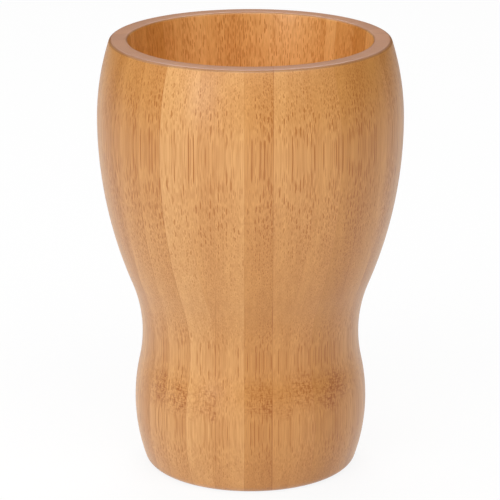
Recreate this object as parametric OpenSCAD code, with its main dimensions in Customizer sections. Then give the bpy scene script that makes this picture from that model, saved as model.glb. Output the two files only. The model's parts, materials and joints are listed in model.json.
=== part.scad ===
// A bamboo cup: nine mitred staves of glued bamboo strips, turned as one ring on a lathe, with a base disc
// of the same strips glued into a rebate under the wall.
// The foot stands on z = 0 and the cup's axis is Z. Stave 1 faces -Y, and the staves count on towards +X.
// All lengths are in millimetres.

/* [Outline] */
// Height from the foot to the rim
cup_height = 110.5; // [100:0.5:125]
// Outer radius at the rim, before its edge is rounded
rim_radius = 35; // [33:0.1:37]
// Largest radius, at the belly
belly_radius = 38.3; // [36.5:0.1:42]
// Height of the belly above the foot
belly_height = 90; // [80:0.5:96]
// Smallest radius, at the waist
waist_radius = 27.5; // [26.8:0.1:29]
// Height of the waist above the foot
waist_height = 35; // [33:0.5:42]
// Radius of the hip between the waist and the foot
hip_radius = 29.5; // [28.5:0.1:30.2]
// Height of the hip above the foot
hip_height = 17; // [14:0.5:19]
// Radius of the hollow arc at the waist
waist_arc = 35.5; // [25:0.5:45]

/* [Rounded edges] */
// Rounding of the foot's outer edge
foot_rounding = 3; // [1:0.1:5]
// Rounding of the rim's outer edge
rim_rounding = 0.9; // [0.3:0.1:1.5]
// Rounding of the rim's inner edge
mouth_rounding = 0.6; // [0.3:0.1:1.2]

/* [Bore] */
// Radius of the mouth, before its edge is rounded
mouth_radius = 30.5; // [29:0.1:31.5]
// Thickness of the wall at the waist, which sets the bore's taper
waist_wall = 4.2; // [3:0.1:5.5]
// Rounding where the bore meets the ledge
ledge_cove = 2; // [0.5:0.1:2.2]

/* [Staves] */
// Number of staves round the cup
stave_count = 9; // [8:1:10]
// Width of one bamboo strip
strip_width = 7; // [6:0.1:8]
// Narrowest strip that is left at the edge of a stave or of the base disc
least_strip = 1.5; // [1:0.1:2]
// Turn of the first stave's middle from -Y towards +X, in degrees
stave_turn = 0.5; // [-5:0.5:5]

/* [Base] */
// Thickness of the base disc
base_thickness = 6; // [4:0.1:8]
// Height of the base disc's underside above the foot
base_recess = 1; // [0.5:0.1:2]
// Width of the flat foot ring round the base disc
foot_ring = 2.7; // [1.5:0.1:3.5]
// Width of the ledge that the base disc seats against
ledge_width = 3; // [2.5:0.1:4]
// Thickness of that ledge
ledge_thickness = 3; // [2:0.1:5]
// Glue gap round the base disc
base_clearance = 0.1; // [0.05:0.01:0.3]

/* [Hidden] */
$fn = 360;
// How far a cut runs past what it cuts, and an arc's slice runs on inside its neighbour
overrun = 1;
// How much fuller an arc is drawn where it runs out inside its neighbour, so that the two cross
crossing = 0.0005;

// Where each stave's glue lines lie: the offset of the first from the stave's middle in strip widths, and how
// many there are
first_line_shares = [-1.26, -1.54, -1.54, -1, -1.25, -0.85, -1, -1.54, -1.54];
line_counts = [3, 4, 4, 3, 3, 3, 3, 4, 4];
// The same for the base disc, whose middle strip lies across the axis
base_first_line_share = -2.5;
base_line_count = 6;
// Least radius of the hip's arc, which has to reach down to the foot, as a share of the hip's height
least_hip_arc_share = 1.5;
// Colour of the bamboo, and the tone that each strip has of it, taken in turn
bamboo_colour = [0.87, 0.65, 0.41];
strip_tone_shares = [0.94, 1, 0.9, 0.98, 0.88, 1, 0.93];

// Arcs of the outline. Two arcs that meet between two upright tangents have radii that add up to
// (rise^2 + step^2) / (2 step): the rise from one tangent to the other, and the step in radius between them.
// The shoulder's arc is negative, and hollow, where the rim is wider than the belly.
function arcs_sum(rise, step) = (rise * rise + step * step) / (2 * step);
function leg(hypotenuse, side) = sqrt(hypotenuse * hypotenuse - side * side);

shoulder_arc = arcs_sum(cup_height - belly_height, belly_radius - rim_radius);
belly_to_waist_arcs = arcs_sum(belly_height - waist_height, belly_radius - waist_radius);
waist_to_hip_arcs = arcs_sum(waist_height - hip_height, hip_radius - waist_radius);
hollow_arc = min(waist_arc, waist_to_hip_arcs - least_hip_arc_share * hip_height);
belly_arc = belly_to_waist_arcs - hollow_arc;
hip_arc = waist_to_hip_arcs - hollow_arc;
waist_arc_top = waist_height + (belly_height - waist_height) * hollow_arc / belly_to_waist_arcs;
waist_arc_foot = waist_height - (waist_height - hip_height) * hollow_arc / waist_to_hip_arcs;

// Of the shoulder's and the belly's arcs, the more curved one runs on inside the other
shoulder_runs_on = 1 / shoulder_arc > 1 / belly_arc;
shoulder_overrun = shoulder_runs_on ? overrun : 0;
shoulder_crossing = shoulder_runs_on ? crossing : 0;
belly_overrun = overrun - shoulder_overrun;
belly_crossing = crossing - shoulder_crossing;

// Middles of the arcs that round the rim's and the foot's outer edges, and the heights where those arcs begin
rim_edge_height = cup_height - rim_rounding;
rim_edge_rise = rim_edge_height - belly_height;
rim_edge_reach = leg(shoulder_arc - rim_rounding, rim_edge_rise);
rim_edge_radius = belly_radius - shoulder_arc + sign(shoulder_arc) * rim_edge_reach;
rim_edge_start = belly_height + rim_edge_rise * shoulder_arc / (shoulder_arc - rim_rounding);
foot_radius = hip_radius - hip_arc + leg(hip_arc - foot_rounding, hip_height - foot_rounding);
foot_edge_end = hip_height - (hip_height - foot_rounding) * hip_arc / (hip_arc - foot_rounding);

// Base, ledge and bore. The bore's radius shrinks evenly from the mouth to the ledge.
rebate_radius = foot_radius - foot_ring;
floor_height = base_recess + base_thickness;
ledge_radius = rebate_radius - ledge_width;
ledge_height = floor_height + ledge_thickness;
bore_taper = (mouth_radius - waist_radius + waist_wall) / (cup_height - waist_height);
bore_slant = sqrt(1 + bore_taper * bore_taper);
function bore_radius(height) = mouth_radius - bore_taper * (cup_height - height);
cove_height = ledge_height + ledge_cove;
cove_radius = bore_radius(cove_height) - ledge_cove * bore_slant;
mouth_edge_height = cup_height - mouth_rounding;
mouth_edge_radius = bore_radius(mouth_edge_height) + mouth_rounding * bore_slant;

// Glue lines between strips, as offsets from the middle of a stave or of the base disc. They lie in parallel
// planes a strip's width apart, and the outermost strips reach the edge. A board too narrow to leave its
// outermost strips the least width has narrower strips.
base_radius = rebate_radius - base_clearance;
half_stave = 180 / stave_count;
wall_reach = max(belly_radius, rim_radius);
function glue_lines(first_share, count, half_width) =
    let (outer_share = max(-first_share, first_share + count - 1))
    let (width = min(strip_width, (half_width - least_strip) / outer_share))
    [for (i = [0:count - 1]) (first_share + i) * width];
function strip_edges(lines, reach) = concat([-reach], lines, [reach]);
function line_count(stave) = line_counts[stave % len(line_counts)];
function first_line_share(stave) = first_line_shares[stave % len(first_line_shares)];
function stave_lines(stave) =
    glue_lines(first_line_share(stave), line_count(stave), wall_reach * sin(half_stave));
base_lines = glue_lines(base_first_line_share, base_line_count, base_radius);

function wall_name(stave, strip) = str("stave_", stave + 1, "_strip_", strip + 1);
function base_name(strip) = str("base_strip_", strip + 1);
function tone(i) = bamboo_colour * strip_tone_shares[i % len(strip_tone_shares)];
wall_names = [
    for (stave = [0:stave_count - 1])
        for (strip = [0:len(stave_lines(stave))])
            wall_name(stave, strip)
];
base_names = [for (strip = [0:len(base_lines)]) base_name(strip)];

// The part of a shape between two heights
module band(bottom, top) {
    intersection() {
        children();
        translate([0, bottom]) square([wall_reach + overrun, top - bottom]);
    }
}

// A body whose side is an arc that stands upright at a given radius and height. A negative arc is hollow.
module flank(radius, height, arc) {
    if (arc > 0)
        translate([radius - arc, height]) circle(arc);
    else
        difference() {
            square([radius - arc, cup_height]);
            translate([radius - arc, height]) circle(-arc);
        }
}

// Half section of the cup's outer form, solid to the axis
module outer_section() {
    square([foot_radius, hip_height]);
    band(0, hip_height) translate([foot_radius, foot_rounding]) circle(foot_rounding + crossing);
    band(foot_edge_end, waist_arc_foot + overrun) flank(hip_radius, hip_height, hip_arc);
    band(waist_arc_foot, waist_arc_top)
        flank(waist_radius - crossing, waist_height, -hollow_arc - crossing);
    band(waist_arc_top - overrun, belly_height + belly_overrun)
        flank(belly_radius + belly_crossing, belly_height, belly_arc + belly_crossing);
    band(belly_height - shoulder_overrun, rim_edge_start)
        flank(belly_radius + shoulder_crossing, belly_height, shoulder_arc + shoulder_crossing);
    band(belly_height, cup_height)
        translate([rim_edge_radius, rim_edge_height]) circle(rim_rounding + 2 * crossing);
    band(rim_edge_start - overrun, cup_height) square([rim_edge_radius, cup_height]);
}

// Half section of the space above the ledge, open at the mouth
module bore_section() {
    cove_end_radius = cove_radius + ledge_cove / bore_slant;
    cove_end_height = cove_height - ledge_cove * bore_taper / bore_slant;
    translate([cove_radius, cove_height]) circle(ledge_cove);
    polygon([
        [0, ledge_height],
        [cove_radius, ledge_height],
        [cove_end_radius, cove_end_height],
        [bore_radius(cup_height + overrun), cup_height + overrun],
        [0, cup_height + overrun]
    ]);
}

// Half section of what rounds the mouth's edge
module mouth_edge_section() {
    edge_start_radius = mouth_edge_radius - mouth_rounding / bore_slant;
    edge_start_height = mouth_edge_height + mouth_rounding * bore_taper / bore_slant;
    difference() {
        polygon([
            [edge_start_radius - overrun, edge_start_height],
            [edge_start_radius, edge_start_height],
            [mouth_edge_radius, edge_start_height],
            [mouth_edge_radius, cup_height + overrun],
            [edge_start_radius - overrun, cup_height + overrun]
        ]);
        translate([mouth_edge_radius, mouth_edge_height]) circle(mouth_rounding);
    }
}

// Half section of the turned wall, with the rebate for the base disc and the hole inside its ledge
module wall_section() {
    difference() {
        outer_section();
        bore_section();
        mouth_edge_section();
        translate([0, -overrun]) square([rebate_radius, floor_height + overrun]);
        square([ledge_radius, ledge_height + overrun]);
    }
}

// One stave of the turned wall, with its middle towards -Y and both mitres cut
module turned_stave() {
    rotate_extrude(angle = 2 * half_stave, start = 270 - half_stave) wall_section();
}

// One strip of a stave, between two glue lines or between a glue line and a mitre
module wall_strip(stave, strip) {
    edges = strip_edges(stave_lines(stave), wall_reach);
    color(tone(stave + strip))
        rotate([0, 0, stave_turn + stave * 2 * half_stave])
            intersection() {
                turned_stave();
                translate([edges[strip], -wall_reach - overrun, -overrun])
                    cube([edges[strip + 1] - edges[strip], wall_reach + overrun, cup_height + 2 * overrun]);
            }
}

// One strip of the base disc, lying along X
module base_strip(strip) {
    edges = strip_edges(base_lines, rebate_radius);
    color(tone(strip))
        translate([0, 0, base_recess])
            intersection() {
                cylinder(h = base_thickness, r = base_radius);
                translate([-rebate_radius, edges[strip], -overrun])
                    cube([2 * rebate_radius, edges[strip + 1] - edges[strip], base_thickness + 2 * overrun]);
            }
}

for (stave = [0:stave_count - 1])
    for (strip = [0:len(stave_lines(stave))])
        wall_strip(stave, strip);
for (strip = [0:len(base_lines)])
    base_strip(strip);
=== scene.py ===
"""A turned cup of glued bamboo strips: its wall, its base disc and the stage it stands on."""

import json
import math
from collections import namedtuple

import bmesh
import bpy
from mathutils import Matrix, Vector


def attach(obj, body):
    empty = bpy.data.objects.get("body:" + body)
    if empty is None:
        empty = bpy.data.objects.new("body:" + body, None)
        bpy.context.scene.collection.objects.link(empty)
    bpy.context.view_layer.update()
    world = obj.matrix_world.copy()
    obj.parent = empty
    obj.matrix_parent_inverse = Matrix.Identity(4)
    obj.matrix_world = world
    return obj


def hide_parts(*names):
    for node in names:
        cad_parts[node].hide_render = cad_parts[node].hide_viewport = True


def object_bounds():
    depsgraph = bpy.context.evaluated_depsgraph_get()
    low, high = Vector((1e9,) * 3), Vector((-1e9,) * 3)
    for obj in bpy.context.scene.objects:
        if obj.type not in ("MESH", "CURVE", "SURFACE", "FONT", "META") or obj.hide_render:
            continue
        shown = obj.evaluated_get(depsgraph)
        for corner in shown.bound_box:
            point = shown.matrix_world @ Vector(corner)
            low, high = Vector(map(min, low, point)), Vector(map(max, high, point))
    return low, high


bl_info = {
    "name": "Bamboo Cup",
    "version": (1, 0, 0),
    "blender": (4, 5, 0),
    "location": "3D View > Sidebar > Cup",
    "description": "Builds a turned cup of glued bamboo strips over its packed frame",
    "category": "Object",
}

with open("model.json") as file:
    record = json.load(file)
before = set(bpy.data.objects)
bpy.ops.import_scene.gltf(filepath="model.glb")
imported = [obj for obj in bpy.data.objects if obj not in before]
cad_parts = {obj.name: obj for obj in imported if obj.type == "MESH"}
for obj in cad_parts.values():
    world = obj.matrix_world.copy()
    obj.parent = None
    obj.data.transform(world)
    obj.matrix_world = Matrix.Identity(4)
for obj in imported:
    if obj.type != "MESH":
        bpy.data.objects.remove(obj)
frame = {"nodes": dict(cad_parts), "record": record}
CAD_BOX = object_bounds()
CAD_TOP = max(corner[2] for corner in CAD_BOX)
MM = 0.001


# Properties


def length(name, description, millimetres):
    return bpy.props.FloatProperty(
        name=name, description=description, default=millimetres * MM, min=0, precision=5, unit="LENGTH"
    )


def angle(name, description, degrees):
    return bpy.props.FloatProperty(
        name=name, description=description, default=math.radians(degrees), unit="ROTATION"
    )


def share(name, description, value):
    return bpy.props.FloatProperty(
        name=name, description=description, default=value, min=0, max=1, subtype="FACTOR"
    )


def strength(name, description, value):
    return bpy.props.FloatProperty(name=name, description=description, default=value, min=0)


def colour(name, description, value):
    return bpy.props.FloatVectorProperty(
        name=name, description=description, default=value, min=0, max=1, size=3, subtype="COLOR"
    )


class CupSizes(bpy.types.PropertyGroup):
    """Sizes of the turned wall and the base disc"""

    cup_height: length("Height", "From the foot to the rim", CAD_TOP / MM)
    rim_radius: length("Rim radius", "Outer radius at the rim, before its edge is rounded", 35)
    belly_radius: length("Belly radius", "Largest radius", 38.3)
    belly_height: length("Belly height", "Height of the belly above the foot", 90)
    waist_radius: length("Waist radius", "Smallest radius", 27.5)
    waist_height: length("Waist height", "Height of the waist above the foot", 35)
    hip_radius: length("Hip radius", "Radius between the waist and the foot", 29.5)
    hip_height: length("Hip height", "Height of the hip above the foot", 17)
    waist_arc: length("Waist arc", "Radius of the hollow arc at the waist", 35.5)
    foot_rounding: length("Foot rounding", "Rounding of the foot's outer edge", 3)
    rim_rounding: length("Rim rounding", "Rounding of the rim's outer edge", 0.9)
    mouth_rounding: length("Mouth rounding", "Rounding of the rim's inner edge", 0.6)
    mouth_radius: length("Mouth radius", "Radius of the mouth, before its edge is rounded", 30.5)
    waist_wall: length("Waist wall", "Thickness of the wall at the waist", 4.2)
    ledge_cove: length("Ledge cove", "Rounding where the bore meets the ledge", 2)
    ledge_width: length("Ledge width", "Width of the ledge above the base disc", 3)
    ledge_thickness: length("Ledge thickness", "Thickness of that ledge", 3)
    foot_ring: length("Foot ring", "Width of the flat ring round the base disc", 2.7)
    base_thickness: length("Base thickness", "Thickness of the base disc", 6)
    base_recess: length("Base recess", "Height of the base disc's underside", 1)
    base_clearance: length("Glue gap", "Gap round the base disc", 0.1)
    strip_width: length("Strip width", "Width of one bamboo strip", 7)
    eased_edge: length("Eased edge", "Rounding of edges that are only sanded", 0.25)
    stave_turn: angle("Stave turn", "Turn of the first stave's middle from -Y towards +X", 0.5)


class BambooLook(bpy.types.PropertyGroup):
    """Colours and gloss of the bamboo"""

    light_tone: colour("Light strips", "Ground of the palest strips", (0.74, 0.38, 0.130))
    medium_tone: colour("Medium strips", "Ground of the middling strips", (0.63, 0.285, 0.076))
    dark_tone: colour("Dark strips", "Ground of the darkest strips", (0.53, 0.217, 0.040))
    # Painted light: colours in the bore are multiplied brighter, as if more light fell inside the cup
    bore_painted_light: bpy.props.FloatVectorProperty(
        name="Bore", description="What colours are multiplied by in the bore", default=(1.16, 1.15, 1.08, 1.0), size=4
    )
    bundle_depth: colour("Fibre bundles", "What the ground's colour is multiplied by in them", (0.66, 0.46, 0.21))
    end_tone: colour("End grain", "Ground of the rim and the foot", (0.385, 0.163, 0.071))
    # Painted shade: a dark colour painted on the rim's rounded edges, where their reflection is darker
    rim_edge_painted_shade: colour("Rim edges", "The rim's rounded edges", (0.16, 0.065, 0.032))
    roughness: share("Roughness", "Roughness of the rubbed surface", 0.42)
    lacquer: share("Lacquer", "Weight of the clear lacquer", 0.3)
    lacquer_roughness: share("Lacquer roughness", "Roughness of the lacquer", 0.25)
    relief: length("Relief", "Depth of the grain's relief", 0.06)
    relief_strength: share("Relief strength", "How strongly the relief shows", 0.25)


class StageLook(bpy.types.PropertyGroup):
    """Camera, floor and lights"""

    camera_distance: length("Camera distance", "From the lens to the cup's axis", 737.26)
    camera_aim: length("Aim height", "Height of the point that the camera looks at", 55.68)
    camera_rise: angle("Camera rise", "Angle of the view below the horizon", 16.766)
    camera_side: length("Camera side", "How far left of the cup's axis the camera stands", 0.118)
    focal_length: bpy.props.FloatProperty(
        name="Focal length", description="Focal length on a 36 mm sensor", default=209.67, min=1, unit="CAMERA"
    )
    floor_size: length("Floor size", "Side of the floor", 6000)
    floor_gap: length("Floor gap", "How far the floor lies below the foot", 0.02)
    floor_colour: colour("Floor colour", "Colour of the floor", (0.9, 0.9, 0.9))
    floor_roughness: share("Floor roughness", "Roughness of the floor", 0.9)
    floor_white: share("Floor white", "Share of plain white in what the camera and the gloss see of the floor", 0.88)
    glow_radius: length("Glow radius", "How far round the cup the white floor shows in its gloss", 320)
    glow_core: share("Glow core", "Part of that radius within which it shows in full", 0.4)
    sky: strength("Sky", "Strength of the even light from overhead", 0.4)
    sky_start: angle("Sky start", "Height above the horizon where that light begins", 5)
    sky_full: angle("Sky full", "Height above the horizon from which it is full", 45)
    key_power: strength("Key light", "Power of the light in front at the left, in watts", 1.55)
    front_power: strength("Front light", "Power of the light high in front, in watts", 2.8)
    fill_power: strength("Fill light", "Power of the light in front at the right, in watts", 1.65)
    side_power: strength("Side light", "Power of the light high at the left, in watts", 1.35)
    low_power: strength("Low light", "Power of the light low at the left, in watts", 1.3)
    back_power: strength("Back light", "Power of the light high behind, in watts", 3.2)


# Shader maths


class Reading:
    """A socket that carries a number through a shader. Sums on it add Math nodes."""

    def __init__(self, finish, socket):
        self.finish = finish
        self.socket = socket

    def sum(self, operation, *terms):
        node = self.finish.node("ShaderNodeMath", {"operation": operation}, dict(enumerate(terms)))
        return Reading(self.finish, node.outputs[0])

    def __add__(self, other):
        return self.sum("ADD", self, other)

    def __radd__(self, other):
        return self.sum("ADD", other, self)

    def __sub__(self, other):
        return self.sum("SUBTRACT", self, other)

    def __rsub__(self, other):
        return self.sum("SUBTRACT", other, self)

    def __mul__(self, other):
        return self.sum("MULTIPLY", self, other)

    def __rmul__(self, other):
        return self.sum("MULTIPLY", other, self)

    def __truediv__(self, other):
        return self.sum("DIVIDE", self, other)

    def __pow__(self, other):
        return self.sum("POWER", self, other)

    def __abs__(self):
        return self.sum("ABSOLUTE", self)

    def between(self, low, high):
        """Low where the reading is 0 and high where it is 1"""
        return self * (high - low) + low

    def step(self, start, end, low=0.0, high=1.0):
        """Goes smoothly from low to high as the reading goes from start to end"""
        values = {"Value": self, "From Min": start, "From Max": end, "To Min": low, "To Max": high}
        node = self.finish.node("ShaderNodeMapRange", {"interpolation_type": "SMOOTHSTEP"}, values)
        return Reading(self.finish, node.outputs["Result"])


class Finish:
    """The nodes of a finish in the making, or of the daylight"""

    def __init__(self, tree):
        self.tree = tree
        self.surface = tree.nodes.get("Principled BSDF")

    def feed(self, socket, value):
        """Links a reading or a socket to a socket, or sets it to a constant"""
        if isinstance(value, Reading):
            value = value.socket
        if isinstance(value, bpy.types.NodeSocket):
            self.tree.links.new(value, socket)
        else:
            socket.default_value = value

    def node(self, kind, settings=None, values=None):
        """Adds a node, sets its settings and then feeds its sockets, by name or number"""
        node = self.tree.nodes.new(kind)
        for name, value in (settings or {}).items():
            setattr(node, name, value)
        for key, value in (values or {}).items():
            self.feed(node.inputs[key], value)
        return node

    def reading(self, kind, output, settings=None, values=None):
        return Reading(self, self.node(kind, settings, values).outputs[output])

    def vector(self, across, inward, along):
        return self.node("ShaderNodeCombineXYZ", None, {0: across, 1: inward, 2: along}).outputs[0]

    def split(self, vector):
        """The three parts of a vector, as readings"""
        parts = self.node("ShaderNodeSeparateXYZ", None, {0: vector}).outputs
        return [Reading(self, parts[i]) for i in range(3)]

    def noise(self, across, inward, along, detail):
        """Noise from 0 to 1 that changes about once in a unit of each of the three places"""
        values = {"Vector": self.vector(across, inward, along), "Scale": 1.0, "Detail": detail}
        return self.reading("ShaderNodeTexNoise", "Fac", None, values)

    def blend(self, factor, first, second, kind="MIX"):
        """Mixes two colours"""
        settings = {"data_type": "RGBA", "blend_type": kind}
        node = self.node("ShaderNodeMix", settings, {0: factor, 6: first, 7: second})
        return node.outputs[2]

    def surface_values(self, values):
        for name, value in values.items():
            self.feed(self.surface.inputs[name], value)


# Bamboo


# How a strip differs from the rest: its tone from 0, dark, to 1, light, at the foot and at the rim, the side that its
# bark was on, how thickly the fibre bundles stand there, the distance between them in millimetres, how dark the glue
# line on its bark side is, and the height of a culm node in it, in millimetres, or 0 for none
Strip = namedtuple("Strip", "foot rim bark bundles spacing seam knot", defaults=(0.25, 0))
# The strips that were matched one by one, by stave and strip, and those that all others take in turn
STRIPS = {
    (9, 1): Strip(0.62, 0.50, 1, 0.7, 1.0),
    (9, 2): Strip(0.66, 0.46, 1, 1.4, 1.1, 0.4, 25),
    (9, 3): Strip(0.72, 0.50, 1, 1.7, 1.15, 0.5, 24),
    (9, 4): Strip(0.84, 0.96, 1, 0.7, 1.1, 0.25, 24),
    (9, 5): Strip(0.52, 0.84, 1, 0.9, 1.15, 0.25, 24),
    (1, 1): Strip(0.69, 0.68, 1, 0.9, 1.1, 0.6, 24),
    (1, 2): Strip(0.70, 0.75, -1, 0.7, 1.0),
    (1, 3): Strip(0.28, 0.56, 1, 1.4, 0.9, 1.0, 26),
    (1, 4): Strip(0.38, 0.78, 1, 0.8, 0.95, 0.25, 25),
    (2, 1): Strip(0.60, 0.66, 1, 1.3, 0.9, 0.5),
    (2, 2): Strip(0.48, 0.56, 1, 1.2, 0.85, 0.4, 27),
    (2, 3): Strip(0.16, 0.24, 1, 1.7, 0.95, 0.8, 25),
    (2, 4): Strip(0.31, 0.23, -1, 1.1, 0.95, 0.3, 26),
    (2, 5): Strip(0.38, 0.36, 1, 0.8, 1.0),
    (4, 2): Strip(0.30, 0.25, 1, 0.9, 1.0),
    (4, 3): Strip(0.55, 0.60, -1, 0.9, 1.0),
    (4, 4): Strip(0.85, 0.95, 1, 0.7, 1.1),
    (5, 1): Strip(0.60, 0.70, 1, 0.9, 1.0),
    (5, 2): Strip(0.90, 0.95, -1, 1.1, 1.0),
    (5, 3): Strip(0.95, 1.0, 1, 1.0, 1.1),
    (5, 4): Strip(0.75, 0.85, 1, 0.9, 1.1),
    (6, 1): Strip(0.55, 0.65, 1, 1.3, 1.0),
    (6, 2): Strip(0.60, 0.70, -1, 1.2, 1.1),
    (6, 3): Strip(0.75, 0.85, 1, 1.0, 1.1),
    (6, 4): Strip(0.60, 0.65, 1, 0.9, 1.0),
    (7, 1): Strip(0.55, 0.60, 1, 0.9, 1.0),
    (7, 2): Strip(0.25, 0.20, 1, 1.0, 1.1),
}
OTHER_STRIPS = [
    Strip(0.45, 0.40, 1, 0.9, 0.9, 0.5),
    Strip(0.80, 0.85, -1, 0.7, 1.1),
    Strip(0.20, 0.15, 1, 1.1, 1.0, 0.6),
    Strip(0.70, 0.65, -1, 0.8, 1.2, 0.3, 71),
    Strip(0.40, 0.45, 1, 1.0, 0.8, 0.8),
    Strip(0.20, 0.25, -1, 0.9, 1.1),
]


# A pattern in the bamboo: its repeats in a millimetre across the strip, inwards and along the grain, its levels of
# detail, and the direction that it is shifted in, so that no two strips match
Pattern = namedtuple("Pattern", "across inward along detail shifted")
HAIR = Pattern(3.4, 5.0, 0.09, 2.0, "across")
STREAK = Pattern(0.95, 0.8, 0.018, 2.0, "inward")
CLOUD = Pattern(0.16, 0.16, 0.05, 1.0, "inward")
PATCH = Pattern(0.8, 0.8, 0.06, 1.0, "across")
RUFFLE = Pattern(1.5, 1.5, 1.2, 3.0, "across")
WAVES = Pattern(0.35, 0.6, 2.8, 2.0, "inward")
# The same for the sway of the grain and for where a glue line shows, along the grain, and how far the grain sways
SWAY_GRAIN, SHOWING_GRAIN, SWAY_WIDTH = 0.035, 0.07, 0.9

# A size of fibre bundle: its spacing as a share of the strip's, how thickly it stands at the pith side, how much more
# so at the bark side, and a shift that keeps the sizes apart
BundleSize = namedtuple("BundleSize", "spacing at_pith more_at_bark shift")
COARSE_BUNDLES = BundleSize(1.0, 0.15, 0.75, 0.0)
FINE_BUNDLES = BundleSize(0.52, 0.25, 0.60, 5.3)
# Rows of bundles inwards for each one across, how many times further the rows are shifted, and how far from their
# places the bundles stray, from 0 to 1
BUNDLE_ROWS, ROW_SHIFT, BUNDLE_STRAY = 2.6, 3.7, 0.6
# How many times a bundle's radius goes into its spacing across and inwards
BUNDLE_SLIMNESS = (5.9, 3.3)
# Where the bundle's edge, its paler middle and the pale ground round it start and end, as multiples of its radius
BUNDLE_EDGE, BUNDLE_MIDDLE = (1.2, 0.7), (0.5, 0.1)
HALO_INSIDE, HALO_OUTSIDE = (1.1, 1.5), (2.6, 1.8)

# What a strip's tone is multiplied by where its ground is deepest and palest, and its fibres' colour by in marks
DEEP_GROUND, PALE_GROUND = (0.82, 0.73, 0.60, 1.0), (1.08, 1.14, 1.24, 1.0)
MARK_DEPTH = (0.85, 0.69, 0.35, 1.0)

# The heights in millimetres where a strip's tone starts and ends its drift, and the same for the rise in its bundles
# and for the painted shade on the rim's rounded edges
TONE_DRIFT, BUNDLE_RISE, RIM_EDGE_SHADE_HEIGHTS = (35, 105), (36, 62), (107, 109)
# The slants of a surface, from 0 along the grain to 1 straight across it, between which it comes to count as
# lengthwise, as an end, as a rounded edge, and as no longer flat
LENGTHWISE, END, ROUNDED, FLAT = (0.40, 0.10), (0.72, 0.95), (0.38, 0.55), (0.995, 0.93)
# How much of the strip's own colour gives way to that of an end, and to the painted shade on a rounded rim edge
END_SHARE, ROUNDED_SHADE_SHARE = 0.92, 0.45
# How far the band at a culm node wavers, and how far from its middle it starts and is full, in millimetres
KNOT_WAVER, KNOT_REACH = 6.0, (5.5, 2.0)
# How bright the end of the darkest strip is, how much brighter that of the lightest, and how dark their pores
END_BRIGHTNESS, END_SPREAD, PORE_DEPTH = 0.92, 0.16, 0.5
# How far from its edge the faintest glue line ends, how much further the darkest does, and where both are full, in
# millimetres
LINE_WIDTH, LINE_SPREAD, LINE_CORE = 0.08, 0.16, 0.02
# How dark the glue line on the pith side of each strip is
PITH_SEAM = 0.25
WOOD_IOR = 1.5


def tinted(dark, medium, light, tone):
    """A colour between three tones, for a tone from 0 to 1"""
    low, high, part = (dark, medium, 2 * tone) if tone < 0.5 else (medium, light, 2 * tone - 1)
    return [a + (b - a) * part for a, b in zip(low, high)] + [1.0]


def deepened(tone, depths):
    """A tone with each of its parts multiplied by its own depth"""
    return [part * depth for part, depth in zip(tone, depths)]


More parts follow.
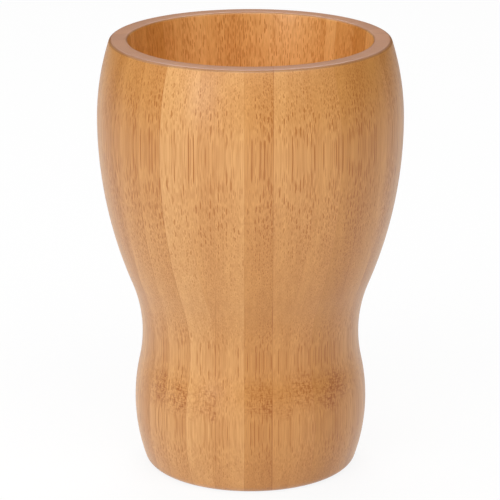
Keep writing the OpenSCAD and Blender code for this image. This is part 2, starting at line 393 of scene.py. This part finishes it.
class BambooFinish(Finish):
    """The finish of one strip between two glue lines. A strip of the wall stands with its grain along Z, in a stave
    turned by an angle; a lying strip has its grain along X."""

    def __init__(self, name, look, traits, turn, edges, seed, lying=False):
        self.material = bpy.data.materials.new(name)
        self.material.use_nodes = True
        super().__init__(self.material.node_tree)
        self.look, self.traits, self.seed, self.lying = look, traits, seed, lying
        self.pith, self.bark = (edge / MM for edge in (edges if traits.bark > 0 else edges[::-1]))
        tones = look.dark_tone, look.medium_tone, look.light_tone
        self.foot, self.rim = tinted(*tones, traits.foot), tinted(*tones, traits.rim)
        halfway = [(foot + rim) / 2 for foot, rim in zip(self.foot, self.rim)]
        self.fibre = deepened(halfway, [*look.bundle_depth, 1.0])
        self.mark = deepened(self.fibre, MARK_DEPTH)
        self.measure(turn)
        self.lay_grain()

    def measure(self, turn):
        """Reads the place in millimetres across the strip, inwards and along its grain, and how the surface lies"""
        place = self.node("ShaderNodeTexCoord").outputs["Object"]
        values = {"Vector": place, "Angle": -turn}
        straight = self.node("ShaderNodeVectorRotate", {"rotation_type": "Z_AXIS"}, values).outputs[0]
        values = {0: straight, "Scale": 1 / MM}
        x, y, z = self.split(self.node("ShaderNodeVectorMath", {"operation": "SCALE"}, values).outputs[0])
        self.from_middle, self.inward, self.along = (y, z, x) if self.lying else (x, y, z)

        # From 0 at the pith side of the strip to 1 at its bark side
        self.ripeness = ((self.from_middle - self.pith) / (self.bark - self.pith)).step(-0.2, 1)

        # The grain sways a little on its way up
        sway = self.noise(self.seed, 0.0, self.along * SWAY_GRAIN, 1.0) - 0.5
        self.across = self.from_middle + sway * SWAY_WIDTH

        # From 0 where the surface runs along the grain to 1 where it is cut straight across
        facing = self.node("ShaderNodeNewGeometry").outputs["Normal"]
        self.slant = abs(self.split(facing)[0 if self.lying else 2])
        self.lengthwise = self.slant.step(*LENGTHWISE)

        # From 0 outside to 1 in the bore
        level = self.node("ShaderNodeVectorMath", {"operation": "MULTIPLY"}, {0: place, 1: (1, 1, 0)}).outputs[0]
        outward = self.reading("ShaderNodeVectorMath", "Value", {"operation": "DOT_PRODUCT"}, {0: level, 1: facing})
        self.bore = outward.step(2 * MM, -2 * MM)

    def pattern(self, grain):
        """Noise from 0 to 1 in one of the patterns"""
        places = {name: getattr(self, name) * getattr(grain, name) for name in ("across", "inward", "along")}
        places[grain.shifted] += self.seed
        return self.noise(**places, detail=grain.detail)

    def bundles(self, size):
        """Fibre bundles of one size, long in the grain and closer inwards than across, and the ground round them"""
        spacing, offset = self.traits.spacing * size.spacing, self.seed + size.shift
        column = self.across * (1 / spacing) + offset
        row = self.inward * (BUNDLE_ROWS / spacing) + ROW_SHIFT * offset
        settings = {"voronoi_dimensions": "2D", "feature": "F1"}
        values = {"Vector": self.vector(column, row, 0.0), "Scale": 1.0, "Randomness": BUNDLE_STRAY}
        cells = self.node("ShaderNodeTexVoronoi", settings, values)
        middle = self.split(cells.outputs["Position"])
        beside = (column - middle[0]) * BUNDLE_SLIMNESS[0]
        behind = (row - middle[1]) * BUNDLE_SLIMNESS[1]
        distance = (beside * beside + behind * behind) ** 0.5
        chance = self.reading("ShaderNodeSeparateColor", 0, None, {0: cells.outputs["Color"]})
        density = self.ripeness * (size.more_at_bark * self.traits.bundles) + size.at_pith
        present = (density - chance).step(-0.06, 0.16)
        core = distance.step(*BUNDLE_EDGE) * distance.step(*BUNDLE_MIDDLE).between(1.0, 0.65)
        halo = distance.step(*HALO_INSIDE) * distance.step(*HALO_OUTSIDE)
        return core * present, halo * present

    def lay_grain(self):
        """Lays the fibre bundles, then the fine streaks, broad streaks and clouds of the ground between them"""
        coarse, coarse_halo = self.bundles(COARSE_BUNDLES)
        fine, fine_halo = self.bundles(FINE_BUNDLES)
        # The coarse bundles show less on a slope and in the bore, where the fine ones show more
        coarse = coarse * self.bore.between(1.0, 0.55) * self.lengthwise.between(0.6, 1.0)
        fine = fine * (self.bore * 0.3 + self.lengthwise.between(1.05, 0.75))
        patches = self.pattern(PATCH).step(0.3, 0.6)
        shown = patches.between(0.6, 1.0) * self.lengthwise.between(0.5, 1.0) * self.along.step(*BUNDLE_RISE, 0.8, 1.1)
        self.dots = (coarse + fine) * shown
        self.halo = (coarse_halo + fine_halo) * 0.5
        self.hair, self.streak, self.cloud = (self.pattern(grain) for grain in (HAIR, STREAK, CLOUD))

    def ground(self):
        """The strip's own tone, which drifts from the foot to the rim, with its grain"""
        drift = self.along.step(*TONE_DRIFT)
        deep, pale = (
            self.blend(drift, deepened(self.foot, depths), deepened(self.rim, depths))
            for depths in (DEEP_GROUND, PALE_GROUND)
        )
        shade = (self.hair - 0.5) * self.lengthwise.between(1.2, 1.7)
        shade = shade + (self.streak - 0.5) * 0.9 + (self.cloud - 0.5) * 0.5
        shade = shade + (0.5 - self.ripeness) * 0.3 + self.halo * 0.2 + 0.5
        return self.blend(self.dots, self.blend(shade, deep, pale), self.fibre)

    def culm_node(self):
        """How dark the ruffled band is where the fibres cross at a culm node"""
        near = abs(self.along - self.traits.knot + (self.cloud - 0.5) * KNOT_WAVER).step(*KNOT_REACH)
        ruffle, waves = self.pattern(RUFFLE).step(0.48, 0.60), self.pattern(WAVES).step(0.5, 0.62)
        strong = self.ripeness.between(0.3, 1.0) * min(1.0, 0.4 + 0.4 * self.traits.bundles)
        return near * strong * (ruffle * 0.70 + waves * 0.40)

    def cut_ends(self):
        """The duller colour of the strip where it is cut across the grain, with the bundles as pores"""
        brightness = END_BRIGHTNESS + END_SPREAD * self.traits.rim
        end_tone = [part * brightness for part in self.look.end_tone]
        pores = [part * PORE_DEPTH for part in end_tone]
        return self.blend(self.dots * 0.5 + (self.hair - 0.5) * 0.3, [*end_tone, 1.0], [*pores, 1.0])

    def glue_line(self, edge, depth):
        """How dark the glue line at an edge is, which shows more in some places than in others"""
        line = abs(self.from_middle - edge).step(LINE_WIDTH + LINE_SPREAD * depth, LINE_CORE)
        showing = self.noise(edge + self.seed, 0.0, self.along * SHOWING_GRAIN, 1.0).step(0.42, 0.62)
        return line * showing.between(0.25, 1.0) * depth

    def painted_rim_edge_shade(self):
        """How dark the painted shade is on the rim's rounded edges, which lie between its flat and the wall"""
        return self.slant.step(*ROUNDED) * self.slant.step(*FLAT) * self.along.step(*RIM_EDGE_SHADE_HEIGHTS) * ROUNDED_SHADE_SHARE

    def coat(self):
        """Lays each colour over the last and returns the finished material"""
        look = self.look
        colour_now = self.ground()
        # Painted light in the bore of a wall strip: its colours are multiplied brighter
        if not self.lying:
            colour_now = self.blend(self.bore, colour_now, look.bore_painted_light, "MULTIPLY")
        if self.traits.knot:
            colour_now = self.blend(self.culm_node(), colour_now, self.mark)
        colour_now = self.blend(self.slant.step(*END) * END_SHARE, colour_now, self.cut_ends())
        for edge, depth in ((self.pith, PITH_SEAM), (self.bark, self.traits.seam)):
            colour_now = self.blend(self.glue_line(edge, depth), colour_now, self.mark)
        # Painted shade on the rounded rim edges of a wall strip
        if not self.lying:
            colour_now = self.blend(self.painted_rim_edge_shade(), colour_now, [*look.rim_edge_painted_shade, 1.0])

        values = {"Strength": look.relief_strength, "Distance": look.relief, "Height": (self.hair - self.dots) * 0.5}
        relief = self.node("ShaderNodeBump", None, values)
        self.surface_values(
            {
                "Base Color": colour_now,
                "Roughness": (self.hair - 0.5) * 0.12 + self.dots * 0.08 + look.roughness,
                "Normal": relief.outputs[0],
                "Coat Weight": look.lacquer,
                "Coat Roughness": look.lacquer_roughness,
                "IOR": WOOD_IOR,
            }
        )
        return self.material


# Meshes


# Longest steps along a small and a large arc, and how many flats a stave and the base disc have round the axis
FINE_STEP, COARSE_STEP = 0.12 * MM, 1.0 * MM
STAVE_COLUMNS, DISC_COLUMNS = 48, 180
# Points closer than this are one point, and a saw cut takes the points this close to it as lying on it, in metres
SAME_POINT, ON_CUT = 1e-6, 1e-7
# The sharpest edge that is shaded smooth, and the most corners that a sawn face of a turned surface has
SMOOTH_ANGLE = math.radians(28)
MOST_CORNERS = 5


def arc_points(centre, radius, start, end, spacing):
    """Points on an arc, from an angle to another, no further apart than the spacing"""
    steps = max(2, math.ceil(abs(end - start) * radius / spacing))
    angles = [start + (end - start) * i / steps for i in range(steps + 1)]
    return [(centre[0] + radius * math.cos(a), centre[1] + radius * math.sin(a)) for a in angles]


def line_points(start, end, spacing):
    steps = max(1, math.ceil(math.dist(start, end) / spacing))
    return [tuple(a + (b - a) * i / steps for a, b in zip(start, end)) for i in range(steps + 1)]


def arcs_sum(rise, step):
    """What the radii of two arcs add up to, where the arcs meet between two upright tangents"""
    return (rise * rise + step * step) / (2 * step)


def wall_section(sizes):
    """The closed half section of the turned wall, as points of radius and height, from the foot's flat outwards"""
    s = sizes
    shoulder_arc = arcs_sum(s.cup_height - s.belly_height, s.belly_radius - s.rim_radius)
    belly_arc = arcs_sum(s.belly_height - s.waist_height, s.belly_radius - s.waist_radius) - s.waist_arc
    hip_arc = arcs_sum(s.waist_height - s.hip_height, s.hip_radius - s.waist_radius) - s.waist_arc
    hip = (s.hip_radius - hip_arc, s.hip_height)
    waist = (s.waist_radius + s.waist_arc, s.waist_height)
    belly = (s.belly_radius - belly_arc, s.belly_height)
    shoulder = (s.belly_radius - shoulder_arc, s.belly_height)
    foot_reach = math.sqrt((hip_arc - s.foot_rounding) ** 2 - (s.hip_height - s.foot_rounding) ** 2)
    foot = (hip[0] + foot_reach, s.foot_rounding)
    rim_rise = s.cup_height - s.rim_rounding - s.belly_height
    rim_reach = math.sqrt((shoulder_arc - s.rim_rounding) ** 2 - rim_rise**2)
    rim = (shoulder[0] + rim_reach, s.cup_height - s.rim_rounding)

    taper = (s.mouth_radius - s.waist_radius + s.waist_wall) / (s.cup_height - s.waist_height)
    slant = math.atan(taper)

    def inside_bore(height, radius):
        """Middle of a circle that touches the bore's line from inside the wall, or from the bore"""
        return s.mouth_radius - taper * (s.cup_height - height) + radius / math.cos(slant)

    mouth_height = s.cup_height - s.mouth_rounding
    mouth = (inside_bore(mouth_height, s.mouth_rounding), mouth_height)
    floor_height = s.base_recess + s.base_thickness
    ledge_height = floor_height + s.ledge_thickness
    rebate = foot[0] - s.foot_ring
    ledge = rebate - s.ledge_width
    cove_height = ledge_height + s.ledge_cove
    cove = (inside_bore(cove_height, -s.ledge_cove), cove_height)

    def towards(start, end):
        return math.atan2(end[1] - start[1], end[0] - start[0])

    foot_angle, waist_angle = towards(hip, foot), towards(hip, waist)
    belly_angle, rim_angle = towards(belly, waist), towards(shoulder, rim)
    quarter, half = math.pi / 2, math.pi
    fine, coarse = FINE_STEP, COARSE_STEP
    ease = s.eased_edge
    parts = [
        arc_points((rebate + ease, ease), ease, -half, -quarter, fine),
        arc_points(foot, s.foot_rounding, -quarter, foot_angle, 2 * fine),
        arc_points(hip, hip_arc, foot_angle, waist_angle, coarse),
        arc_points(waist, s.waist_arc, half + waist_angle, half + belly_angle, coarse),
        arc_points(belly, belly_arc, belly_angle, 0, coarse),
        arc_points(shoulder, shoulder_arc, 0, rim_angle, coarse),
        arc_points(rim, s.rim_rounding, rim_angle, quarter, fine),
        arc_points(mouth, s.mouth_rounding, quarter, half - slant, fine),
        line_points(
            (mouth[0] - s.mouth_rounding * math.cos(slant), mouth[1] + s.mouth_rounding * math.sin(slant)),
            (cove[0] + s.ledge_cove * math.cos(slant), cove[1] - s.ledge_cove * math.sin(slant)),
            2 * coarse,
        ),
        arc_points(cove, s.ledge_cove, -slant, -quarter, 2 * fine),
        arc_points((ledge + ease, ledge_height - ease), ease, quarter, half, fine),
        [(ledge, floor_height), (rebate, floor_height)],
    ]
    points = []
    for point in (point for part in parts for point in part):
        if not points or math.dist(points[-1], point) > SAME_POINT:
            points.append(point)
    return points


def turned(section, start, end, columns):
    """A closed body turned from a half section through an angle about Z, from -Y towards +X, with flat ends"""
    body = bmesh.new()
    rings = []
    for i in range(columns + 1):
        a = start + (end - start) * i / columns
        rings.append([body.verts.new((r * math.sin(a), -r * math.cos(a), z)) for r, z in section])
    rows = len(section)
    for left, right in zip(rings, rings[1:]):
        for j in range(rows):
            k = (j + 1) % rows
            body.faces.new((left[j], right[j], right[k], left[k]))
    body.faces.new(rings[0])
    body.faces.new(rings[-1][::-1])
    return body


def turned_disc(outline, columns):
    """A closed disc turned about Z from the outline of its edge, which goes from its underside to its top"""
    disc = bmesh.new()
    angles = [2 * math.pi * i / columns for i in range(columns)]
    rings = [[disc.verts.new((r * math.sin(a), -r * math.cos(a), z)) for a in angles] for r, z in outline]
    for lower, upper in zip(rings, rings[1:]):
        for i in range(columns):
            k = (i + 1) % columns
            disc.faces.new((lower[i], lower[k], upper[k], upper[i]))
    disc.faces.new(rings[0])
    disc.faces.new(rings[-1])
    return disc


def sawn(body, low, high, axis):
    """A copy of a body cut at two planes across an axis, with both cuts closed. None leaves that side uncut."""
    piece = body.copy()
    for place, side in ((low, -1), (high, 1)):
        if place is None:
            continue
        cut = bmesh.ops.bisect_plane(
            piece,
            geom=piece.verts[:] + piece.edges[:] + piece.faces[:],
            dist=ON_CUT,
            plane_co=axis * place,
            plane_no=axis * side,
            clear_outer=True,
        )
        edges = [e for e in cut["geom_cut"] if isinstance(e, bmesh.types.BMEdge)]
        bmesh.ops.edgeloop_fill(piece, edges=edges)
    return piece


def finished_piece(name, body, turn, material):
    """Makes an object of a body, turned about Z, shaded smooth but for its sharp edges"""
    bmesh.ops.recalc_face_normals(body, faces=body.faces[:])
    for face in body.faces:
        face.smooth = len(face.verts) <= MOST_CORNERS
    for edge in body.edges:
        if len(edge.link_faces) == 2:
            edge.smooth = edge.calc_face_angle(0) < SMOOTH_ANGLE
    mesh = bpy.data.meshes.new(name)
    body.to_mesh(mesh)
    body.free()
    mesh.transform(Matrix.Rotation(turn, 4, "Z"))
    mesh.materials.append(material)
    piece = bpy.data.objects.new(name, mesh)
    bpy.context.collection.objects.link(piece)
    return piece


# The first glue line of each stave, as an offset from its middle in strip widths, and of the base disc
FIRST_LINES = [-1.26, -1.54, -1.54, -1, -1.25, -0.85, -1, -1.54, -1.54]
FIRST_BASE_LINE = -2.5
# How far the patterns of neighbouring staves, strips and base strips lie apart
STAVE_SEED, STRIP_SEED, BASE_SEED = 7.31, 1.93, 3.17


def strips_of(group, first, width):
    """Each strip that the frame has in a stave or in the base: its node, the planes that it is sawn at, with None at
    an end, and its two edges"""
    count = sum(1 for node in frame["nodes"] if node.startswith(f"{group}_strip_"))
    lines = [(first + i) * width for i in range(count - 1)]
    edges = [lines[0] - width, *lines, lines[-1] + width]
    nodes = [f"{group}_strip_{strip}" for strip in range(1, count + 1)]
    return zip(nodes, zip([None, *lines], [*lines, None]), zip(edges, edges[1:]))


def slot_of(node):
    """The material slot that the record gives a node"""
    return next(part["material_slot"] for part in frame["record"]["subparts"] if part["node"] == node)


def dress(node, body, turn, material):
    """Puts a finished strip in the place of its CAD node"""
    piece = finished_piece(f"bamboo_{node}", body, turn, material)
    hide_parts(node)
    slot_of(node)
    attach(piece, "root")


class CUP_OT_wall(bpy.types.Operator):
    """Turn the wall's staves and saw each into its strips"""

    bl_idname = "cup.wall"
    bl_label = "Wall"

    def execute(self, context):
        sizes, look = context.scene.cup_sizes, context.scene.bamboo_look
        half_stave = math.pi / len(FIRST_LINES)
        board = turned(wall_section(sizes), -half_stave, half_stave, STAVE_COLUMNS)
        for stave, first in enumerate(FIRST_LINES, start=1):
            turn = sizes.stave_turn + 2 * half_stave * (stave - 1)
            strips = strips_of(f"stave_{stave}", first, sizes.strip_width)
            for strip, (node, cuts, edges) in enumerate(strips, start=1):
                traits = STRIPS.get((stave, strip), OTHER_STRIPS[(3 * stave + strip) % len(OTHER_STRIPS)])
                seed = STAVE_SEED * stave + STRIP_SEED * strip
                finish = BambooFinish(f"bamboo of {node}", look, traits, turn, edges, seed)
                dress(node, sawn(board, *cuts, Vector((1, 0, 0))), turn, finish.coat())
        board.free()
        return {"FINISHED"}


class CUP_OT_base(bpy.types.Operator):
    """Turn the base disc and saw it into its strips"""

    bl_idname = "cup.base"
    bl_label = "Base disc"

    def execute(self, context):
        sizes, look = context.scene.cup_sizes, context.scene.bamboo_look
        rebate, top = wall_section(sizes)[-1]
        radius, ease = rebate - sizes.base_clearance, sizes.eased_edge
        eased = arc_points((radius - ease, sizes.base_recess + ease), ease, -math.pi / 2, 0, FINE_STEP)
        disc = turned_disc([*eased, (radius, top)], DISC_COLUMNS)
        strips = strips_of("base", FIRST_BASE_LINE, sizes.strip_width)
        for strip, (node, cuts, edges) in enumerate(strips, start=1):
            traits = OTHER_STRIPS[(2 * strip) % len(OTHER_STRIPS)]
            finish = BambooFinish(f"bamboo of {node}", look, traits, 0.0, edges, BASE_SEED * strip, lying=True)
            dress(node, sawn(disc, *cuts, Vector((0, 1, 0))), 0.0, finish.coat())
        disc.free()
        return {"FINISHED"}


# Each light's place and the side of its square, in metres, and what all of them face
LIGHTS = {
    "key": ((-0.48, -0.57, 0.67), 0.5),
    "front": ((0.0, -0.6, 0.75), 0.5),
    "fill": ((0.5, -0.5, 0.7), 0.5),
    "side": ((-0.7, 0.1, 0.7), 0.5),
    "low": ((-0.55, -0.76, 0.26), 0.3),
    "back": ((0.0, 0.6, 0.75), 0.5),
}
LIT_POINT = Vector((0, 0, 0.06))
# Width of the camera's sensor in millimetres, and the nearest and furthest that the camera sees, in metres
SENSOR_WIDTH = 36
NEAREST, FURTHEST = 0.01, 50
WHITE = (1, 1, 1, 1)


class CUP_OT_stage(bpy.types.Operator):
    """Lay the floor, light it and place the camera"""

    bl_idname = "cup.stage"
    bl_label = "Stage"

    def execute(self, context):
        stage = context.scene.stage_look
        self.floor(stage)
        self.daylight(context, stage)
        self.lamps(stage)
        self.camera(context, stage)
        context.scene.view_settings.view_transform = "Standard"
        return {"FINISHED"}

    def floor(self, stage):
        side = stage.floor_size / 2
        mesh = bpy.data.meshes.new("floor")
        top = -stage.floor_gap
        corners = [(-side, -side, top), (side, -side, top), (side, side, top), (-side, side, top)]
        mesh.from_pydata(corners, [], [(0, 1, 2, 3)])
        paint = bpy.data.materials.new("floor paint")
        paint.use_nodes = True
        finish = Finish(paint.node_tree)
        finish.surface_values({"Base Color": (*stage.floor_colour, 1.0), "Roughness": stage.floor_roughness})
        white = finish.node("ShaderNodeEmission", None, {"Color": WHITE, "Strength": 1.0})
        rays = finish.node("ShaderNodeLightPath")
        camera, glossy, clear = (
            Reading(finish, rays.outputs[f"Is {kind} Ray"]) for kind in ("Camera", "Glossy", "Transmission")
        )
        place = finish.node("ShaderNodeTexCoord").outputs["Object"]
        reach = finish.reading("ShaderNodeVectorMath", "Value", {"operation": "LENGTH"}, {0: place})
        glow = reach.step(stage.glow_radius, stage.glow_core * stage.glow_radius)
        seen = (camera + (glossy + clear) * glow) * stage.floor_white
        values = {0: seen, 1: finish.surface.outputs[0], 2: white.outputs[0]}
        mixed = finish.node("ShaderNodeMixShader", None, values)
        finish.feed(finish.tree.nodes["Material Output"].inputs["Surface"], mixed.outputs[0])
        mesh.materials.append(paint)
        floor = bpy.data.objects.new("floor", mesh)
        bpy.context.collection.objects.link(floor)

    def daylight(self, context, stage):
        """An even light from overhead, white to the camera and dark at the horizon to the cup"""
        world = bpy.data.worlds.new("daylight")
        world.use_nodes = True
        sky = Finish(world.node_tree)
        direction = sky.node("ShaderNodeTexCoord").outputs["Generated"]
        rise = sky.split(direction)[2]
        level = rise.step(math.sin(stage.sky_start), math.sin(stage.sky_full), 0.0, stage.sky)
        seen = sky.reading("ShaderNodeLightPath", "Is Camera Ray")
        background = world.node_tree.nodes["Background"]
        background.inputs["Color"].default_value = WHITE
        sky.feed(background.inputs["Strength"], seen + (1 - seen) * level)
        context.scene.world = world

    def lamps(self, stage):
        for name, (place, size) in LIGHTS.items():
            light = bpy.data.lights.new(f"{name} light", "AREA")
            light.shape = "SQUARE"
            light.size = size
            light.energy = getattr(stage, f"{name}_power")
            lamp = bpy.data.objects.new(f"{name} light", light)
            lamp.location = place
            lamp.rotation_euler = (LIT_POINT - Vector(place)).to_track_quat("-Z", "Y").to_euler()
            bpy.context.collection.objects.link(lamp)

    def camera(self, context, stage):
        camera = bpy.data.cameras.new("camera")
        camera.lens = stage.focal_length
        camera.sensor_width = SENSOR_WIDTH
        camera.clip_start, camera.clip_end = NEAREST, FURTHEST
        eye = bpy.data.objects.new("camera", camera)
        back = stage.camera_distance * math.cos(stage.camera_rise)
        up = stage.camera_distance * math.sin(stage.camera_rise)
        eye.location = (-stage.camera_side, -back, stage.camera_aim + up)
        eye.rotation_euler = (math.pi / 2 - stage.camera_rise, 0, 0)
        bpy.context.collection.objects.link(eye)
        context.scene.camera = eye


class VIEW3D_PT_bamboo_cup(bpy.types.Panel):
    """The cup's sizes, its bamboo and its stage"""

    bl_label = "Bamboo Cup"
    bl_space_type = "VIEW_3D"
    bl_region_type = "UI"
    bl_category = "Cup"

    def draw(self, context):
        scene = context.scene
        for operator in (CUP_OT_wall, CUP_OT_base, CUP_OT_stage):
            self.layout.operator(operator.bl_idname)
        for group in (scene.cup_sizes, scene.bamboo_look, scene.stage_look):
            box = self.layout.box()
            for name in group.bl_rna.properties.keys():
                if name not in ("rna_type", "name"):
                    box.prop(group, name)


CLASSES = (CupSizes, BambooLook, StageLook, CUP_OT_wall, CUP_OT_base, CUP_OT_stage, VIEW3D_PT_bamboo_cup)


def register():
    for cls in CLASSES:
        bpy.utils.register_class(cls)
    bpy.types.Scene.cup_sizes = bpy.props.PointerProperty(type=CupSizes)
    bpy.types.Scene.bamboo_look = bpy.props.PointerProperty(type=BambooLook)
    bpy.types.Scene.stage_look = bpy.props.PointerProperty(type=StageLook)


def unregister():
    del bpy.types.Scene.stage_look
    del bpy.types.Scene.bamboo_look
    del bpy.types.Scene.cup_sizes
    for cls in reversed(CLASSES):
        bpy.utils.unregister_class(cls)


def main():
    register()
    bpy.ops.cup.wall()
    bpy.ops.cup.base()
    bpy.ops.cup.stage()


if __name__ == "__main__":
    main()
